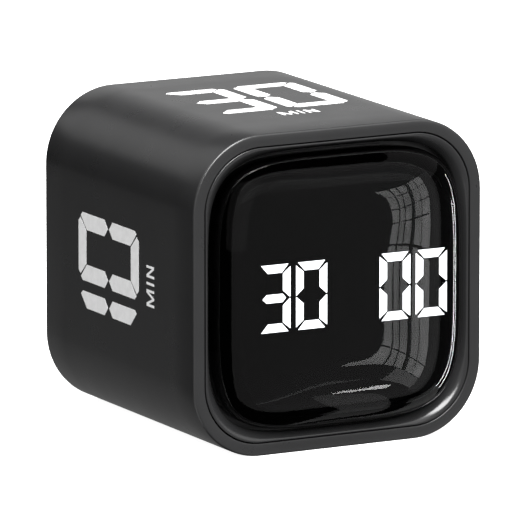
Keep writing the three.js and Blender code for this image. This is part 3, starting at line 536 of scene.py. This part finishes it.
def cell_sleeves():
    """The two cells' printed sleeves, with a copper-coloured band at the positive end."""
    for node, pole in (("cell_lower", -1), ("cell_upper", 1)):
        low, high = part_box(node)
        s = Shader(f"sleeve_{node}", (0.05, 0.08, 0.13), 0.3, Coat_Weight=0.4, Coat_Roughness=0.1)
        split = s.nodes.new("ShaderNodeSeparateXYZ")
        s.links.new(s.place(), split.inputs["Vector"])
        end = high.x if pole > 0 else low.x
        band = s.span(split.outputs["X"], 0, 1, end - pole * 0.0125, end - pole * 0.0121)
        mix = s.nodes.new("ShaderNodeMix")
        mix.data_type = "RGBA"
        s.links.new(band, mix.inputs["Factor"])
        s.links.new(s.ramp(s.noise(500, 4), (0.012, 0.014, 0.018), (0.02, 0.022, 0.028)), mix.inputs["A"])
        s.links.new(s.ramp(s.noise(700, 4), (0.5, 0.24, 0.1), (0.62, 0.31, 0.14)), mix.inputs["B"])
        s.links.new(mix.outputs["Result"], s.bsdf.inputs["Base Color"])
        s.rough(s.span(s.noise(900, 3), 0.25, 0.4))
        refined(node, s, 0.15)


def others():
    """The pieces refined from the CAD, and a material for every CAD solid that is kept as it is."""
    fine = {
        "display_fascia": (gloss_black, 0.0), "rear_cover": (matte_black, 0.1),
        "battery_door": (matte_black, 0.12),
        "button_minutes": (satin_black, 0.1), "button_start_stop": (satin_black, 0.1),
        "button_seconds": (satin_black, 0.1), "volume_knob": (satin_black, 0.1),
        **{f"cover_screw_{i}": (steel, 0.06) for i in range(1, 5)},
    }
    for node, (shader, bevel) in fine.items():
        refined(node, shader, bevel)
    slots = {
        "black_foam": foam, "white_plastic": white_plastic, "circuit_board": board,
        "chip_black": chip_black,
        "nickel_plate": nickel, "zinc_steel": steel, "ribbon_grey": ribbon, "wire_red": wire_red,
        "wire_black": wire_black, "matte_black_abs": matte_black, "satin_black_abs": satin_black,
        "clear_acrylic": clear, "gloss_black_acrylic": gloss_black, "lit_diffuser": unlit,
        "cell_sleeve": sleeve,
    }
    for part in frame["record"]["subparts"]:
        node = frame["nodes"][part["node"]]
        node.data.materials.clear()
        node.data.materials.append(slots[part["material_slot"]].material)


# ------------------------------------------------------------------ stage, light and camera

def stage():
    """A pale floor that glows evenly and throws nothing onto the object."""
    bm = bmesh.new()
    bmesh.ops.create_grid(bm, x_segments=2, y_segments=2, size=12)
    mesh = bpy.data.meshes.new("floor")
    bm.to_mesh(mesh)
    bm.free()
    floor = bpy.data.objects.new("floor", mesh)
    bpy.context.scene.collection.objects.link(floor)
    paint = Shader("floor_paint", (0.85, 0.85, 0.85), 0.8, Emission_Strength=0.95)
    paint.color(paint.ramp(paint.noise(3, 3), (0.84, 0.84, 0.84), (0.87, 0.87, 0.87)))
    paint.bsdf.inputs["Emission Color"].default_value = (1, 1, 1, 1)
    mesh.materials.append(paint.material)
    floor.visible_glossy = False
    floor.visible_transmission = False
    floor.visible_diffuse = False
    floor.visible_shadow = False


def world():
    """Plain white to the camera, and almost dark to the surfaces, so that they mirror only the lights."""
    made = bpy.data.worlds.new("studio")
    bpy.context.scene.world = made
    made.use_nodes = True
    nodes, links = made.node_tree.nodes, made.node_tree.links
    nodes.clear()
    dim, white = (nodes.new("ShaderNodeBackground") for _ in range(2))
    dim.inputs["Strength"].default_value = 0.005
    white.inputs["Strength"].default_value = 1.02
    path = nodes.new("ShaderNodeLightPath")
    mix = nodes.new("ShaderNodeMixShader")
    links.new(path.outputs["Is Camera Ray"], mix.inputs[0])
    links.new(dim.outputs[0], mix.inputs[1])
    links.new(white.outputs[0], mix.inputs[2])
    links.new(mix.outputs[0], nodes.new("ShaderNodeOutputWorld").inputs["Surface"])


def toward(azimuth, elevation):
    """A direction from the cube; azimuth turns from straight in front to the right, seen from the front."""
    az, el = math.radians(azimuth), math.radians(elevation)
    return Vector((math.sin(az) * math.cos(el), -math.cos(az) * math.cos(el), math.sin(el)))


def soft_light(name, middle, turn, width, height, radiance):
    """A soft rectangular light of an even brightness, hidden from the camera."""
    light = bpy.data.lights.new(name, "AREA")
    light.shape = "RECTANGLE"
    light.size, light.size_y = width, height
    light.energy = radiance * math.pi * width * height
    holder = bpy.data.objects.new(name, light)
    bpy.context.scene.collection.objects.link(holder)
    holder.location = CENTRE + middle
    holder.rotation_euler = turn.to_euler()
    holder.visible_camera = False
    return holder


def softbox(name, azimuth, elevation, distance, width, height, radiance):
    """A light that faces the cube."""
    away = toward(azimuth, elevation)
    return soft_light(name, distance * away, away.to_track_quat("Z", "Y"), width, height, radiance)


WALL_AWAY = 2.4  # metres to the wall that holds the window


def wall_light(name, near, far, low, high, radiance):
    """A light on a wall to the cube's right, from near to far in front of the cube."""
    middle = Vector((WALL_AWAY, -(near + far) / 2, (low + high) / 2))
    turn = Quaternion((0, 1, 0), math.pi / 2)
    return soft_light(name, middle, turn, high - low, far - near, radiance)


def strip_light(name, start, end, width, radiance, distance=3.0):
    """A narrow light between two directions, each an azimuth and an elevation."""
    a, b = (distance * toward(*direction) for direction in (start, end))
    along = (b - a).normalized()
    away = (a + b).normalized()
    away = (away - along * along.dot(away)).normalized()
    turn = Matrix((along, away.cross(along), away)).transposed().to_quaternion()
    return soft_light(name, (a + b) / 2, turn, (b - a).length, width, radiance)


def share_out(name, state, holders):
    """Makes lights skip the lens (EXCLUDE) or fall on nothing but the lens (INCLUDE)."""
    linked = bpy.data.collections.new(name)
    linked.objects.link(bpy.data.objects["lens_shell"])
    linked.collection_objects[0].light_linking.link_state = state
    for holder in holders:
        holder.light_linking.receiver_collection = linked


def window():
    """A window in the wall to the cube's right: soft panes and thin dark bars, seen only in the lens."""
    bm = bmesh.new()
    heights = (-2.1, -1.5, -0.55, 0.0, 0.52, 1.2, 1.75)
    for bars in ((2.03, 2.61, 3.05), (3.21, 3.6, 3.86, 4.16)):
        for near, far in zip(bars, bars[1:]):
            for low, high in zip(heights, heights[1:]):
                right, top = far - 0.05, high - 0.04
                corners = ((near, low), (near, top), (right, top), (right, low))
                bm.faces.new([bm.verts.new(CENTRE + Vector((WALL_AWAY, -y, z))) for y, z in corners])
    mesh = bpy.data.meshes.new("window")
    bm.to_mesh(mesh)
    bm.free()
    made = bpy.data.objects.new("window", mesh)
    bpy.context.scene.collection.objects.link(made)
    glow = Shader("window_daylight", (0, 0, 0), 1.0, Emission_Strength=1.0)
    daylight = glow.ramp(glow.noise(1.6, 4), (1.2, 1.2, 1.2), (2.0, 2.0, 2.0))
    glow.links.new(daylight, glow.bsdf.inputs["Emission Color"])
    mesh.materials.append(glow.material)
    made.visible_camera = False
    made.visible_shadow = False
    return made


def lights():
    """Softboxes for the body, others that only the lens mirrors, and one card for both.

    A softbox has its azimuth, elevation, distance, width, height and radiance.
    """
    body_lights = (
        softbox("overhead", 0, 88, 1.5, 3.0, 3.0, 0.6),
        softbox("key", -7, 47, 2.0, 0.9, 2.5, 21),
        softbox("fill_right", 38, 32, 2.0, 1.4, 2.4, 1.3),
        softbox("high_right", 100, 35, 2.0, 1.5, 1.2, 1.0),
        softbox("front_left", -45, -5, 2.0, 1.4, 1.6, 0.36),
        softbox("high_left", -100, 40, 2.0, 1.5, 1.2, 1.75),
        softbox("low_left", -95, -40, 2.0, 2.0, 1.2, 1.3),
        softbox("back_wall", 152, 10, 2.0, 1.46, 1.15, 0.58),
        softbox("back_left", -161, 31, 2.0, 0.92, 1.2, 0.68),
        softbox("back_low", 178, -29, 2.0, 2.6, 1.3, 0.25),
        softbox("low_right", 50, -30, 2.0, 1.4, 0.9, 0.7),
    )
    lens_lights = (
        window(),
        soft_light("high_card", Vector((0, -1.2, 2.6)), Quaternion((1, 0, 0), math.pi / 2), 4.5, 3.6, 0.27),
        softbox("left_card", -55, 30, 2.0, 2.2, 3.0, 0.08),
        wall_light("window_sill", 2.03, 3.43, -2.8, -2.13, 0.7),
        wall_light("wall_by_window", 1.4, 2.01, -2.9, 1.68, 0.1),
        wall_light("right_wall", -0.87, 1.4, -2.5, 1.15, 0.02),
        wall_light("right_wall_high", -0.87, 1.4, 1.15, 4.0, 0.15),
        strip_light("floor_edge", (36, -42), (130, -58), 0.12, 0.22),
        strip_light("table_edge", (-15, -53), (33, -32), 0.08, 0.4),
        strip_light("side_edge", (96.5, -36), (96.5, 14), 0.1, 11),
        softbox("floor_right", 108, -47, 2.0, 1.3, 0.7, 0.28),
        softbox("lamp_spot", 38, -39.5, 2.0, 0.07, 0.1, 7),
    )
    share_out("all_but_the_lens", "EXCLUDE", body_lights)
    share_out("only_the_lens", "INCLUDE", lens_lights)
    soft_light("front_card", Vector((0, -1.2, 0.9)), Quaternion((1, 0, 0), math.pi / 2), 4.5, 7.0, 0.2)


CAMERA_AZIMUTH, CAMERA_ELEVATION, CAMERA_AWAY = -28.03, 11.13, 1.692


def camera():
    data = bpy.data.cameras.new("camera")
    data.sensor_fit = "HORIZONTAL"
    data.sensor_width = 36
    data.lens = 625.6
    data.shift_x, data.shift_y = -0.0009, -0.002
    data.clip_end = 100
    made = bpy.data.objects.new("camera", data)
    bpy.context.scene.collection.objects.link(made)
    away = toward(CAMERA_AZIMUTH, CAMERA_ELEVATION)
    made.location = CENTRE + away * CAMERA_AWAY
    made.rotation_euler = away.to_track_quat("Z", "Y").to_euler()
    bpy.context.scene.camera = made


housing()
bezel()
lens()
display()
prints()
cell_sleeves()
others()
stage()
world()
lights()
camera()
bpy.context.scene.view_settings.view_transform = "Standard"

bpy.context.view_layer.update()
